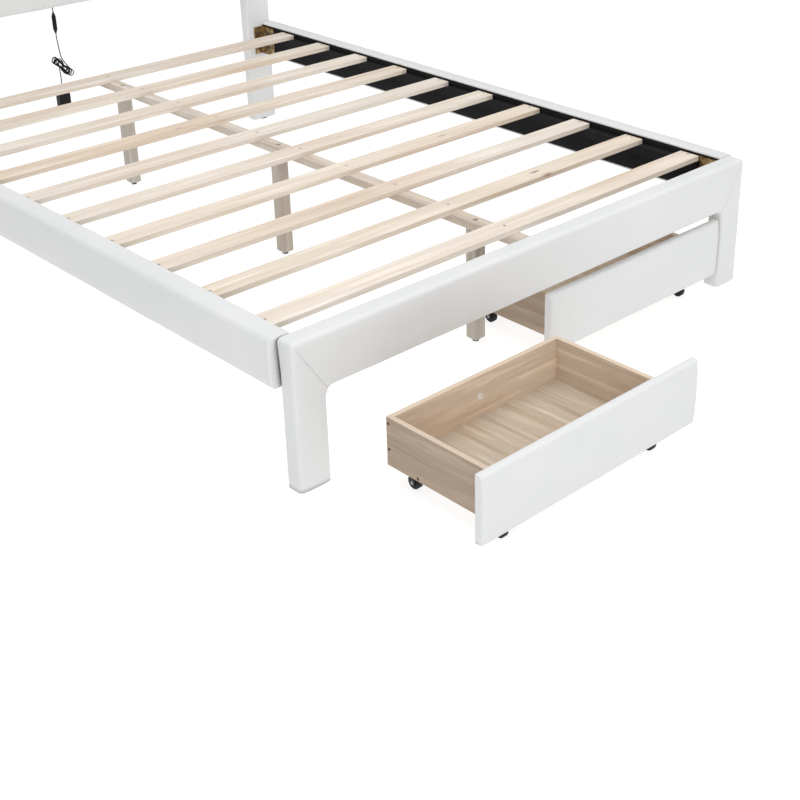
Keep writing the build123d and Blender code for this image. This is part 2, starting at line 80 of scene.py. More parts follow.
class Shader:
    """A node material, built one node at a time."""

    def __init__(self, name):
        self.material = bpy.data.materials.new(name)
        self.material.use_nodes = True
        self.tree = self.material.node_tree
        self.tree.nodes.clear()
        self.place = self.add("ShaderNodeTexCoord").outputs["Object"]

    def add(self, kind, inputs=None, **settings):
        """A node with its settings; an input is a number or another node's output."""
        made = self.tree.nodes.new(kind)
        for key, value in settings.items():
            setattr(made, key, value)
        for key, value in (inputs or {}).items():
            if isinstance(value, bpy.types.NodeSocket):
                self.tree.links.new(value, made.inputs[key])
            else:
                made.inputs[key].default_value = value
        return made

    def math(self, operation, a, b=0.0, clamp=False):
        """A sum, a product or another operation on two numbers."""
        return self.add("ShaderNodeMath", {0: a, 1: b}, operation=operation,
                        use_clamp=clamp).outputs[0]

    def scaled(self, scale, shift=(0, 0, 0)):
        """The object's own coordinates, scaled and shifted."""
        return self.add("ShaderNodeMapping", {"Vector": self.place, "Scale": scale,
                                              "Location": shift}).outputs[0]

    def noise(self, vector, scale=1.0, detail=4.0, roughness=0.5, distortion=0.0):
        """A cloudy number round 0.5."""
        return self.add("ShaderNodeTexNoise", {
            "Vector": vector, "Scale": scale, "Detail": detail, "Roughness": roughness,
            "Distortion": distortion}).outputs["Fac"]

    def ramp(self, value, low, high, start=0.0, end=1.0):
        """A number from low to high as value goes from start to end."""
        return self.add("ShaderNodeMapRange", {
            "Value": value, "From Min": start, "From Max": end, "To Min": low,
            "To Max": high}).outputs["Result"]

    def mix(self, share, a, b, blend="MIX"):
        """Two colours mixed; a colour is three numbers or a node's output."""
        made = self.add("ShaderNodeMix", data_type="RGBA", blend_type=blend)
        for index, value in ((0, share), (6, a), (7, b)):
            if isinstance(value, bpy.types.NodeSocket):
                self.tree.links.new(value, made.inputs[index])
            elif index == 0:
                made.inputs[0].default_value = value
            else:
                made.inputs[index].default_value = (*value, 1.0)
        return made.outputs[2]

    def bump(self, height, strength, distance, normal=None):
        """A normal tilted by a height, on top of another normal if one is given."""
        inputs = {"Height": height, "Strength": strength, "Distance": distance}
        if normal is not None:
            inputs["Normal"] = normal
        return self.add("ShaderNodeBump", inputs).outputs[0]

    def finish(self, **inputs):
        """The surface shader, its inputs named in lower case with _ for a space."""
        surface = self.add("ShaderNodeBsdfPrincipled")
        for key, value in inputs.items():
            socket = surface.inputs[key.replace("_", " ").title().replace("Ior", "IOR")]
            if isinstance(value, bpy.types.NodeSocket):
                self.tree.links.new(value, socket)
            elif isinstance(value, tuple):
                socket.default_value = (*value, 1.0)
            else:
                socket.default_value = value
        out = self.add("ShaderNodeOutputMaterial")
        self.tree.links.new(surface.outputs[0], out.inputs[0])
        return self.material


def leather():
    """White coated leather: fine pebble grain, faint creases and a soft sheen."""
    s = Shader("white_leather")
    pebbles = s.add("ShaderNodeTexVoronoi", {"Vector": s.place, "Scale": 620.0},
                    feature="SMOOTH_F1").outputs["Distance"]
    fine = s.noise(s.place, 1500.0, 3.0)
    creases = s.noise(s.place, 55.0, 5.0, 0.62, 0.6)
    clouds = s.noise(s.place, 5.0, 3.0)
    tone = s.mix(s.ramp(clouds, 0.0, 1.0, 0.3, 0.7), (0.660, 0.668, 0.672), (0.692, 0.696, 0.696))
    tone = s.mix(s.ramp(pebbles, 0.10, 0.0, 0.0, 0.5), tone, (0.565, 0.575, 0.585))
    rough = s.ramp(s.noise(s.place, 90.0, 4.0), 0.36, 0.50, 0.3, 0.7)
    grain = s.bump(s.math("ADD", s.math("MULTIPLY", pebbles, -0.8), fine), 0.22, 0.0004)
    soft = s.bump(creases, 0.12, 0.0016, grain)
    return s.finish(base_color=tone, roughness=rough, normal=soft, specular_ior_level=0.46,
                    coat_weight=0.06, coat_roughness=0.3)


def wood(name, along, light, dark, seed=0.0, figure=9.0, knots=True, band=None, rough=0.6,
         contrast=1.0, warm=(0.80, 0.62, 0.46)):
    """Planed softwood or printed board, with its grain along axis 0, 1 or 2."""
    s = Shader(name)
    stretch = [1.0, 1.0, 1.0]
    stretch[along] = 0.035
    shift = (seed * 3.7, seed * 1.9, seed * 2.3)
    grain_place = s.scaled(stretch, shift)
    streaks = s.noise(grain_place, 60.0, 6.0, 0.58, 0.25)
    fibres = s.noise(grain_place, 420.0, 3.0, 0.6)
    wide = s.scaled([0.16 if i == along else 1.0 for i in range(3)], shift)
    rings = s.add("ShaderNodeTexWave", {
        "Vector": wide, "Scale": figure, "Distortion": 5.0, "Detail": 3.0, "Detail Scale": 1.4,
        "Detail Roughness": 0.6}, wave_type="BANDS", bands_direction="DIAGONAL").outputs["Fac"]
    figure_mask = s.ramp(rings, 0.0, 0.62 * contrast, 0.35, 0.95)
    colour = s.mix(s.ramp(streaks, 0.0, 1.0, 0.32, 0.70), dark, light)
    colour = s.mix(s.math("MULTIPLY", figure_mask, s.ramp(fibres, 0.4, 1.0, 0.3, 0.7)), colour,
                   tuple(0.5 * (a + b) * 0.93 for a, b in zip(dark, light)))
    patches = s.noise(s.scaled([1.2 if i == along else 6.0 for i in range(3)], shift), 1.0, 2.0)
    colour = s.mix(s.ramp(patches, 0.0, 0.38, 0.5, 0.72), colour, warm, "MULTIPLY")
    colour = s.mix(s.ramp(fibres, 0.16 * contrast, 0.0, 0.28, 0.5), colour,
                   tuple(a * 0.6 for a in dark))
    if knots:
        stretched = [7.0 if i == along else 26.0 for i in range(3)]
        cells = s.add("ShaderNodeTexVoronoi", {"Vector": s.scaled(stretched, shift), "Scale": 0.6,
                                               "Randomness": 1.0})
        chosen = s.math("GREATER_THAN", s.add("ShaderNodeSeparateColor", {
            "Color": cells.outputs["Color"]}).outputs[0], 0.62)
        spot = s.ramp(cells.outputs["Distance"], 0.85, 0.0, 0.035, 0.10)
        colour = s.mix(s.math("MULTIPLY", chosen, spot, True), colour, (0.25, 0.15, 0.09))
    if band is not None:
        up = s.add("ShaderNodeSeparateXYZ", {
            "Vector": s.add("ShaderNodeNewGeometry").outputs["Normal"]}).outputs["Z"]
        colour = s.mix(s.ramp(up, 0.0, 0.8, 0.7, 0.9), colour, band)
    roughness = s.ramp(streaks, rough - 0.08, rough + 0.08, 0.3, 0.7)
    normal = s.bump(s.math("ADD", s.math("MULTIPLY", fibres, 0.7), streaks), 0.35, 0.0005)
    return s.finish(base_color=colour, roughness=roughness, normal=normal,
                    specular_ior_level=0.35)


def fabric(name, colour, painted_glint):
    """Thin black non-woven lining: tangled fibres with a faint embossed dot grid, with painted
    glints on the fibres and a painted sheen on the folds.
    """
    s = Shader(name)
    fibres = s.noise(s.place, 900.0, 5.0, 0.7, 1.2)
    dots = s.add("ShaderNodeTexVoronoi", {"Vector": s.place, "Scale": 420.0,
                                          "Randomness": 0.15}).outputs["Distance"]
    painted_fold_sheen = s.noise(s.scaled((1.0, 0.35, 1.0)), 26.0, 3.0, 0.5, 0.8)
    # Painted glints and sheen: the fibres and the crests of the folds are painted lighter, toward
    # the glint colour.
    tone = s.mix(s.ramp(fibres, 0.0, 1.0, 0.35, 0.75), colour, painted_glint)
    tone = s.mix(s.ramp(painted_fold_sheen, 0.0, 0.5, 0.5, 0.75), tone, painted_glint)
    normal = s.bump(s.math("ADD", s.math("MULTIPLY", dots, 0.6), fibres), 0.5, 0.0006)
    return s.finish(base_color=tone, roughness=s.ramp(fibres, 0.62, 0.85, 0.3, 0.7), normal=normal,
                    sheen_weight=0.03, sheen_roughness=0.5, specular_ior_level=0.14)


def metal(name, colour, worn, rough, metallic=0.9, scale=160.0):
    """Plated or oxidised steel with cloudy tone, rubbed spots and fine pits."""
    s = Shader(name)
    clouds = s.noise(s.place, scale, 4.0, 0.6, 0.4)
    pits = s.noise(s.place, scale * 7, 3.0)
    tone = s.mix(s.ramp(clouds, 0.0, 1.0, 0.4, 0.68), colour, worn)
    return s.finish(base_color=tone, metallic=metallic,
                    roughness=s.ramp(clouds, rough, rough + 0.18, 0.3, 0.7),
                    normal=s.bump(pits, 0.25, 0.0003))


def plastic(name, colour, rough=0.45, grain=900.0, strength=0.2, lighter=1.6, coat=0.0):
    """Moulded plastic or rubber with a fine spark-eroded texture and faint scuffs."""
    s = Shader(name)
    texture = s.noise(s.place, grain, 3.0, 0.6)
    scuffs = s.noise(s.place, 70.0, 5.0, 0.65, 0.8)
    tone = s.mix(s.ramp(scuffs, 0.0, 0.6, 0.5, 0.8), colour,
                 tuple(min(0.9, c * lighter + 0.004) for c in colour))
    return s.finish(base_color=tone, roughness=s.ramp(scuffs, rough, rough + 0.14, 0.35, 0.7),
                    normal=s.bump(texture, strength, 0.0003), coat_weight=coat,
                    coat_roughness=0.2, specular_ior_level=0.22)


AXLE_REACH = 0.0042         # a caster's material is steel this near the axle's line


def caster_finish(drawer):
    """Black plastic forks with a grey steel axle through them."""
    s = Shader(f"{drawer}_caster")
    texture = s.noise(s.place, 900.0, 3.0, 0.6)
    is_axle = None
    for row in ("front", "rear"):
        low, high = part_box(f"{drawer}_wheel_{row}_left")
        centre = (low + high) / 2
        away = s.add("ShaderNodeVectorMath", {0: s.place, 1: (0.0, centre.y, centre.z)},
                     operation="SUBTRACT").outputs[0]
        flat = s.add("ShaderNodeVectorMath", {0: away, 1: (0.0, 1.0, 1.0)},
                     operation="MULTIPLY").outputs[0]
        reach = s.add("ShaderNodeVectorMath", {0: flat}, operation="LENGTH").outputs["Value"]
        near = s.math("LESS_THAN", reach, AXLE_REACH)
        is_axle = near if is_axle is None else s.math("MAXIMUM", is_axle, near)
    tone = s.mix(is_axle, (0.008, 0.008, 0.009), (0.30, 0.30, 0.31))
    return s.finish(base_color=tone, roughness=s.ramp(texture, 0.34, 0.5, 0.3, 0.7),
                    normal=s.bump(texture, 0.2, 0.0003), specular_ior_level=0.25)


def screw_finish(painted_shade_below):
    """Plated screw heads; the sunk bolts of the centre legs are painted nearly black, a painted
    shade for their deep wells.
    """
    s = Shader("slat_screw_steel")
    clouds = s.noise(s.place, 160.0, 4.0, 0.6, 0.4)
    height = s.add("ShaderNodeSeparateXYZ", {"Vector": s.place}).outputs["Z"]
    tone = s.mix(s.ramp(clouds, 0.0, 1.0, 0.4, 0.68), (0.30, 0.24, 0.18), (0.46, 0.39, 0.31))
    # Painted shade: heads below the given height are painted nearly black, for the shadow in their
    # wells.
    tone = s.mix(s.math("LESS_THAN", height, painted_shade_below), tone, (0.020, 0.015, 0.012))
    return s.finish(base_color=tone, metallic=0.5, roughness=s.ramp(clouds, 0.40, 0.58, 0.3, 0.7),
                    normal=s.bump(s.noise(s.place, 1100.0, 3.0), 0.25, 0.0003))


def strip_finish():
    """A silicone light strip: milky, with a faint row of diodes under the surface."""
    s = Shader("light_strip")
    cells = s.add("ShaderNodeTexVoronoi", {"Vector": s.place, "Scale": 60.0, "Randomness": 0.0},
                  feature="F1").outputs["Distance"]
    dots = s.ramp(cells, 1.0, 0.0, 0.10, 0.22)
    cloud = s.noise(s.place, 40.0, 3.0)
    tone = s.mix(s.math("MULTIPLY", dots, 0.5), (0.80, 0.80, 0.77), (0.86, 0.74, 0.35))
    return s.finish(base_color=tone, roughness=s.ramp(cloud, 0.30, 0.42, 0.3, 0.7),
                    subsurface_weight=0.1, subsurface_scale=0.004)


# Heads deeper than this are painted nearly black: painted shade in their wells.
SHADED_HEAD_DEPTH = 0.003          # heads this far below the slats' undersides lie in their wells

LIGHT_PINE = (0.815, 0.760, 0.690)
DARK_PINE = (0.610, 0.525, 0.435)
LIGHT_OAK = (0.660, 0.530, 0.410)
DARK_OAK = (0.420, 0.305, 0.215)
OAK_BAND = (0.640, 0.525, 0.415)

white = leather()
# The lining's second colour is its painted glint, laid on the fibres and fold crests.
lining_black = fabric("black_lining", (0.003, 0.003, 0.0035), (0.012, 0.012, 0.014))
board = wood("frame_board", 0, (0.66, 0.50, 0.33), (0.48, 0.34, 0.20), 5.0)
core = wood("drawer_core", 0, (0.62, 0.50, 0.36), (0.46, 0.34, 0.22), 8.0, knots=False)
zinc = metal("yellow_zinc", (0.20, 0.12, 0.055), (0.60, 0.46, 0.25), 0.26, scale=90.0)
steel = metal("dark_steel", (0.10, 0.085, 0.070), (0.26, 0.23, 0.20), 0.36)
screw_steel = screw_finish(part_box("slat_01")[0].z - SHADED_HEAD_DEPTH)
bronze = metal("bronze_screw", (0.055, 0.032, 0.022), (0.13, 0.085, 0.06), 0.40, 0.6)
black = plastic("black_plastic", (0.005, 0.005, 0.0055), 0.38)
rubber = plastic("cord_sheath", (0.004, 0.004, 0.0045), 0.40, 1400.0, 0.12)
wheel_black = plastic("wheel_plastic", (0.009, 0.009, 0.010), 0.40, 700.0, 0.25)
cap_white = plastic("white_plastic", (0.80, 0.80, 0.79), 0.22, 900.0, 0.05, 1.05, 0.3)
strip = strip_finish()


def dress(node, material):
    """Give a CAD node's object this material in every slot."""
    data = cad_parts[node].data
    data.materials.clear()
    data.materials.append(material)


# How much lighter and how much browner each slat is than the plain tones.
PINE_TONES = ((-0.030, 0.0), (-0.020, 0.3), (0.010, 0.1), (-0.012, 0.5), (0.020, 0.0),
              (0.015, 0.2), (0.004, 0.6), (0.026, 0.1), (-0.006, 0.6), (0.030, 0.2))
BROWNER_LIGHT = (0.02, -0.01, -0.045)
BROWNER_DARK = (0.02, -0.015, -0.05)
for index, (lift, warmth) in enumerate(PINE_TONES):
    number = f"{index + 1:02d}"
    light = tuple(c + lift + warmth * w for c, w in zip(LIGHT_PINE, BROWNER_LIGHT))
    dark = tuple(c + lift + warmth * w for c, w in zip(DARK_PINE, BROWNER_DARK))
    dress(f"slat_{number}", wood(f"pine_{number}", 0, light, dark, 1.0 + index * 1.37,
                                 contrast=1.4))
dress("centre_rail", wood("pine_rail", 1, tuple(c * 0.88 for c in LIGHT_PINE),
                          tuple(c * 0.80 for c in DARK_PINE), 21.0, contrast=1.5))
dress("centre_legs", wood("pine_legs", 2, tuple(c * 0.76 for c in LIGHT_PINE),
                          tuple(c * 0.62 for c in DARK_PINE), 23.0, contrast=1.8))
for node, material in (
        ("footboard_frame", board), ("side_rail_boards", board), ("headboard_frame", board),
        ("slat_ledgers", lining_black), ("leg_glides", black), ("corner_brackets", zinc),
        ("bracket_bolts", steel), ("slat_screws", screw_steel), ("led_strip", strip),
        ("cable_gland", black), ("inline_connector", black), ("power_adapter", black)):
    dress(node, material)

# Each board of a drawer: its grain's axis, its edge band and its painted light against plain oak,
# each board painted lighter or darker to stand in for the light and shade it gets inside and
# outside the drawer.
DRAWER_BOARDS = (("back", 0, OAK_BAND, (1.32, 1.39, 1.46)),
                 ("side_left", 1, OAK_BAND, (0.72, 0.71, 0.70)),
                 ("side_right", 1, OAK_BAND, (1.24, 1.31, 1.38)),
                 ("bottom", 1, None, (0.98, 1.06, 1.12)))
for drawer, first_seed in (("left_drawer", 0.0), ("right_drawer", 11.0)):
    dress(f"{drawer}_front_board", core)
    dress(f"{drawer}_fasteners", bronze)
    dress(f"{drawer}_cap", cap_white)
    dress(f"{drawer}_casters", caster_finish(drawer))
    for part, along, band, painted_light in DRAWER_BOARDS:
        # Both oak tones are scaled by the board's painted light and shade.
        light, dark = (tuple(c * k for c, k in zip(tone, painted_light)) for tone in (LIGHT_OAK, DARK_OAK))
        seed = first_seed + along * 2.0 + len(part)
        dress(f"{drawer}_{part}", wood(f"{drawer}_{part}_oak", along, light, dark, seed,
                                       14.0, False, band, 0.46, 2.0))
    for row in ("front", "rear"):
        for side in ("left", "right"):
            dress(f"{drawer}_wheel_{row}_{side}", wheel_black)


# ---- Mesh helpers --------------------------------------------------------------------------

def piece(name, verts, faces, material, body, replaces=()):
    """A smooth mesh object that rides on a body and stands for CAD nodes."""
    mesh = bpy.data.meshes.new(name)
    mesh.from_pydata([tuple(v) for v in verts], [], faces)
    work = bmesh.new()
    work.from_mesh(mesh)
    bmesh.ops.recalc_face_normals(work, faces=work.faces)
    for face in work.faces:
        face.smooth = True
    work.to_mesh(mesh)
    work.free()
    mesh.materials.append(material)
    made = bpy.data.objects.new(name, mesh)
    bpy.context.scene.collection.objects.link(made)
    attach(made, body)
    if replaces:
        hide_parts(*replaces)
    return made


def loft(rings):
    """Points and faces of a skin through rings of points, with a cap on each end."""
    count = len(rings[0])
    faces = []
    for i in range(len(rings) - 1):
        a, b = i * count, (i + 1) * count
        for j in range(count):
            k = (j + 1) % count
            faces.append((a + j, a + k, b + k, b + j))
    faces.append(tuple(reversed(range(count))))
    faces.append(tuple((len(rings) - 1) * count + j for j in range(count)))
    return [p for ring in rings for p in ring], faces


def cloth(columns, rows, place):
    """Points and faces of a cloth with two layers joined round its rim.
    place(layer, along, up) gives a point of layer 0 or 1."""
    verts = [place(layer, along, up) for layer in (0, 1) for along in columns for up in rows]
    wide, tall = len(columns), len(rows)
    back = wide * tall
    faces = []
    for base in (0, back):
        for i in range(wide - 1):
            for j in range(tall - 1):
                a = base + i * tall + j
                faces.append((a, a + 1, a + tall + 1, a + tall))
    rim = ([i * tall for i in range(wide)] + [(wide - 1) * tall + j for j in range(1, tall)]
           + [i * tall + tall - 1 for i in range(wide - 2, -1, -1)] + list(range(tall - 2, 0, -1)))
    for a, b in zip(rim, rim[1:] + rim[:1]):
        faces.append((a, b, b + back, a + back))
    return verts, faces


def rounded(width, height, radii, crowns=(0, 0, 0, 0), step=0.006, arc=6):
    """Points round a soft board's section, from its lower left, as (u, v, nu, nv).
    radii run lower left, lower right, upper right, upper left; crowns bottom, right, top, left."""
    corners = ((0, 0), (width, 0), (width, height), (0, height))
    ways = ((1, 0), (0, 1), (-1, 0), (0, -1))
    out = []
    for i in range(4):
        radius, after = radii[i], radii[(i + 1) % 4]
        way, normal = ways[i], (ways[i][1], -ways[i][0])
        back = (ways[i - 1][1], -ways[i - 1][0])
        cx = corners[i][0] - (normal[0] + back[0]) * radius
        cy = corners[i][1] - (normal[1] + back[1]) * radius
        for k in range(arc):
            turn = math.pi / 2 * k / arc
            nu = back[0] * math.cos(turn) + normal[0] * math.sin(turn)
            nv = back[1] * math.cos(turn) + normal[1] * math.sin(turn)
            out.append((cx + nu * radius, cy + nv * radius, nu, nv))
        length = (width, height, width, height)[i] - radius - after
        parts = max(2, round(length / step))
        for k in range(parts):
            t = k / parts
            lift = crowns[i] * (1 - (2 * t - 1) ** 4)
            out.append((cx + normal[0] * (radius + lift) + way[0] * length * t,
                        cy + normal[1] * (radius + lift) + way[1] * length * t, *normal))
    return out


def unevenness(point, size, scale):
    """A soft, repeatable height at a point of padded leather."""
    return size * noise.noise(Vector(point) * scale)


def stations(start, end, step, fine):
    """Places from start to end about a step apart, with the fine offsets near each end."""
    inner_start, inner_end = start + fine[-1], end - fine[-1]
    parts = max(2, round((inner_end - inner_start) / step))
    out = [start + f for f in fine]
    out += [inner_start + (inner_end - inner_start) * k / parts for k in range(1, parts)]
    return out + [end - f for f in reversed(fine)]


def end_inset(place, start, end, radius):
    """How far a skin draws in near its rounded ends."""
    near = min(place - start, end - place)
    if near >= radius:
        return 0.0
    return radius - math.sqrt(max(0.0, radius ** 2 - (radius - near) ** 2))


def below_top(z):
    """0 at the bed's top edge, growing to 1 further down."""
    return max(0.0, min(1.0, (rail_top - TOP_EDGE - z) / DRAW_FADE))


# ---- Footboard cover -----------------------------------------------------------------------

def footboard_cover():
    """One leather skin over the legs and beam, with a sewn dart across each corner."""
    front, back = foot_low.y, foot_high.y
    depth = back - front
    leg_in = half_width - FOOT_LEG
    beam_low = rail_top - FOOT_BEAM
    bend = FOOT_CORNER * (1 - math.sqrt(0.5))
    inner = (leg_in - bend, beam_low - bend)
    # The section goes round the board: (share of the width from its inner edge, y).
    section = []
    soft_out, soft_in, round_y = 0.105, 0.085, 0.0105
    arc = 7
    back_y = 0.006
    front_crown = 0.0016

    def corner(a0, y0, ra, ry, first, last):
        """A quarter of an ellipse round (a0, y0)."""
        for k in range(arc + 1):
            turn = first + (last - first) * k / arc
            section.append((a0 + ra * math.cos(turn), y0 + ry * math.sin(turn)))

    corner(soft_in, front + round_y, soft_in, round_y, math.pi, 1.5 * math.pi)
    for k in range(1, 16):
        t = k / 16
        section.append((soft_in + (1 - soft_in - soft_out) * t,
                        front - front_crown * (1 - (2 * t - 1) ** 4)))
    corner(1 - soft_out, front + round_y, soft_out, round_y, 1.5 * math.pi, 2 * math.pi)
    for k in range(1, 6):
        section.append((1.0, front + round_y + (depth - round_y - back_y) * k / 6))
    corner(1 - soft_out * 0.6, back - back_y, soft_out * 0.6, back_y, 0, 0.5 * math.pi)
    for k in range(1, 12):
        t = k / 12
        section.append((1 - soft_out * 0.6 - (1 - soft_out * 0.6 - soft_in * 0.6) * t, back))
    corner(soft_in * 0.6, back - back_y, soft_in * 0.6, back_y, 0.5 * math.pi, math.pi)
    for k in range(1, 6):
        section.append((0.0, back - back_y - (depth - round_y - back_y) * k / 6))

    def bow(along, limit):
        """How far the inner corner's arc stands off its straight side."""
        start = limit - (FOOT_CORNER - bend)
        if along <= start:
            return 0.0
        reach = min(along - start, FOOT_CORNER - bend)
        return FOOT_CORNER - math.sqrt(FOOT_CORNER ** 2 - reach ** 2)

    def shaped(x, y, z):
        """Round the outer top corner of the leg."""
        radius = 0.011
        u, w = half_width - x, rail_top - z
        if u < radius and w < radius:
            a, b = radius - u, radius - w
            reach = math.hypot(a, b)
            if reach > 1e-9:
                share = max(a, b) / reach
                x = half_width - radius + a * share
                z = rail_top - radius + b * share
        return x, y, z

    # Distances of the rings from the seam, on the leg and on the beam.
    near = (0.0, 0.0008, 0.0018, 0.0032, 0.006, 0.011, 0.018, 0.028)
    seam_depth, seam_width = 0.0024, 0.0016

    def seam_dip(offset, y, a):
        """The sewn dart: a narrow crease in the front only, fading before the top edge."""
        if y > front + 0.004 or offset > 0.0055:
            return 0.0
        fade = max(0.0, min(1.0, (0.97 - a) / 0.10)) * max(0.0, min(1.0, a / 0.02))
        return seam_depth * fade * math.exp(-(offset / seam_width) ** 2)

    rings = []
    leg_parts = 24
    for k in range(leg_parts + 1):
        ring = []
        for a, y in section:
            corner_z = inner[1] + a * (rail_top - inner[1])
            end = corner_z - near[-1]
            z = GLIDE + (end - GLIDE) * k / leg_parts
            x = leg_in + a * FOOT_LEG - (1 - a) * bow(z, inner[1])
            ring.append([*shaped(x, y, z), near[-1] + end - z, a])
        rings.append(ring)
    for offset in reversed(near[:-1]):
        ring = []
        for a, y in section:
            z = inner[1] + a * (rail_top - inner[1]) - offset
            x = leg_in + a * FOOT_LEG - (1 - a) * bow(z, inner[1])
            ring.append([*shaped(x, y, z), offset, a])
        rings.append(ring)
    for offset in near[1:]:
        ring = []
        for a, y in section:
            x = inner[0] + a * (half_width - inner[0]) - offset
            z = beam_low + a * FOOT_BEAM - (1 - a) * bow(x, inner[0])
            ring.append([*shaped(x, y, z), offset, a])
        rings.append(ring)
    beam_parts = 56
    for k in range(1, beam_parts + 1):
        ring = []
        for a, y in section:
            start = inner[0] + a * (half_width - inner[0]) - near[-1]
            x = start * (1 - k / beam_parts)
            z = beam_low + a * FOOT_BEAM - (1 - a) * bow(x, inner[0])
            ring.append([*shaped(x, y, z), near[-1] + start - x, a])
        rings.append(ring)
    whole = rings + [[[-p[0], *p[1:]] for p in ring] for ring in reversed(rings[:-1])]
    bottom = leg_bottom_rings(whole[0])
    whole = bottom + whole + [[[-p[0], *p[1:]] for p in ring] for ring in reversed(bottom)]

    gather_height, crease_depth = 0.00045, 0.0007
    for ring in whole:
        for p in ring:
            x, y, z, offset, a = p
            if y > back - 0.020:
                p[1] -= LEG_DRAW * below_top(z)
            if y < front + 0.006:
                p[1] = y + seam_dip(offset, y, a)
                p[1] -= unevenness((x, 0, z), 0.0007, 9.0)
                gather = math.exp(-offset / 0.020) * math.exp(-((a - 0.5) / 0.45) ** 2)
                p[1] += gather_height * gather * math.sin(a * 62.0 + offset * 300.0)
                band = math.exp(-((z - beam_low + 0.004) / 0.010) ** 2)
                p[1] += crease_depth * band * max(0.0, min(1.0, (abs(x) - leg_in) / 0.010))
            elif z > rail_top - 0.004:
                p[2] -= abs(unevenness((x, y, 1.0), 0.0008, 11.0))
    verts, faces = loft([[p[:3] for p in ring] for ring in whole])
    made = piece("footboard_leather", verts, faces, white, "bed_frame",
                 ["footboard_cover"])


def leg_bottom_rings(ring):
    """The rings of a leg's lower end, where the skin turns under by a few millimetres."""
    cx = sum(p[0] for p in ring) / len(ring)
    cy = sum(p[1] for p in ring) / len(ring)
    out = []
    for inset, rise in ((0.005, 0.0), (0.0024, 0.0), (0.0010, 0.0006), (0.0002, 0.0020)):
        made = []
        for p in ring:
            away = Vector((p[0] - cx, p[1] - cy))
            pull = Vector((math.copysign(inset, away.x), math.copysign(inset, away.y)))
            made.append([p[0] - pull.x, p[1] - pull.y, GLIDE + rise, p[3], p[4]])
        out.append(made)
    for p in ring:
        p[2] += 0.0045
    return out


footboard_cover()


# ---- Side rail covers and linings ----------------------------------------------------------

def rail_cover(side, word):
    """A padded cover round a rail's outer side, its lips turned over the board."""
    low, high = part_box(f"side_rail_{word}_cover")
    width, height = high.x - low.x, high.z - low.z
    inside = high.x if side < 0 else low.x
    skin = rounded(width, height, (0.0015, 0.012, 0.017, 0.004), (0, 0.0022, 0.0012, 0), 0.005)
    # The section's first side faces the mattress: its two lips stay, and the board between
    # them is left bare.
    cut = [p for p in skin
           if not (p[0] < 0.0005 and RAIL_PAD_BOTTOM < p[1] < height - RAIL_PAD_TOP)]
    start = next(i for i, p in enumerate(cut) if p[1] <= RAIL_PAD_BOTTOM and p[0] < 0.002)
    cut = cut[start:] + cut[:start]
    cavity = [(0.0, height - RAIL_PAD_TOP), (width - RAIL_SIDE_PAD, height - RAIL_PAD_TOP),
              (width - RAIL_SIDE_PAD, RAIL_PAD_BOTTOM), (0.0, RAIL_PAD_BOTTOM)]
    rings = []
    for y in stations(low.y, high.y, 0.010, (0.0, 0.0006, 0.0014, 0.0025, 0.0045, 0.007, 0.011)):
        draw = end_inset(y, low.y, high.y, 0.0028)
        side_draw = end_inset(y, low.y, high.y, 0.0034)
        near_end = min(y - low.y, high.y - y)
        toward_foot = max(0.0, 1 - (y - low.y) / SWELL_LENGTH)
        ring = []
        for u, v, nu, nv in cut:
            point = (inside + side * u, y, low.z + v)
            soft = 0.0 if u < 0.004 else unevenness(point, 0.0008, 8.0)
            if u >= 0.02:
                soft += unevenness(point, 0.0005, 30.0) * math.exp(-near_end / 0.05)
            outward = max(0.0, nu)
            shift = soft - draw * (1 - outward) - side_draw * outward
            ring.append((point[0] + side * nu * shift, y, point[2] + nv * shift))
        ring += [(inside + side * u, y, low.z + v) for u, v in cavity]
        rings.append([(px, py - toward_foot * RAIL_SWELL * below_top(pz), pz)
                      for px, py, pz in ring])
    verts, faces = loft(rings)
    made = piece(f"side_rail_{word}_leather", verts, faces, white, "bed_frame",
                 [f"side_rail_{word}_cover"])


def rail_lining(side, word):
    """The black cloth on a rail's inner side, stapled flat at its edges and slack between."""
    low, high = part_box("side_rail_linings")
    edge = high.x if side > 0 else low.x
    face = edge - side * LINING
    ledger_low, ledger_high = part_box("slat_ledgers")
    bottom, top = low.z + 0.0005, high.z - 0.0005
    columns = stations(low.y, high.y, 0.007, (0.0, 0.004, 0.008))
    rows = [bottom + (top - bottom) * k / 26 for k in range(27)]

    def slack(y, z):
        """How far the cloth stands off between its stapled edges."""
        free = min(1.0, (z - bottom) / 0.012, (top - z) / 0.010)
        ends = min(y - low.y, high.y - y) - BRACKET_FLANGE
        free *= max(0.0, min(1.0, ends / 0.03))
        if ledger_low.z - 0.006 < z < ledger_high.z + 0.004:
            free = 0.0
        fold = noise.noise(Vector((y * 22, z * 9, side * 3))) + 0.5
        crease = abs(noise.noise(Vector((y * 34 + z * 30, z * 16, 7 + side))))
        return 0.0016 * free * max(0.0, min(1.0, 0.7 * fold + 0.9 * crease))

    thick, off_board = 0.0004, 0.0006

    def place(layer, y, z):
        return (face + side * (off_board + layer * thick) - side * slack(y, z), y, z)

    verts, faces = cloth(columns, rows, place)
    made = piece(f"side_rail_lining_{word}", verts, faces, lining_black, "bed_frame",
                 ["side_rail_linings"])


for side, word in ((-1, "left"), (1, "right")):
    rail_cover(side, word)
    rail_lining(side, word)


# ---- Headboard -----------------------------------------------------------------------------

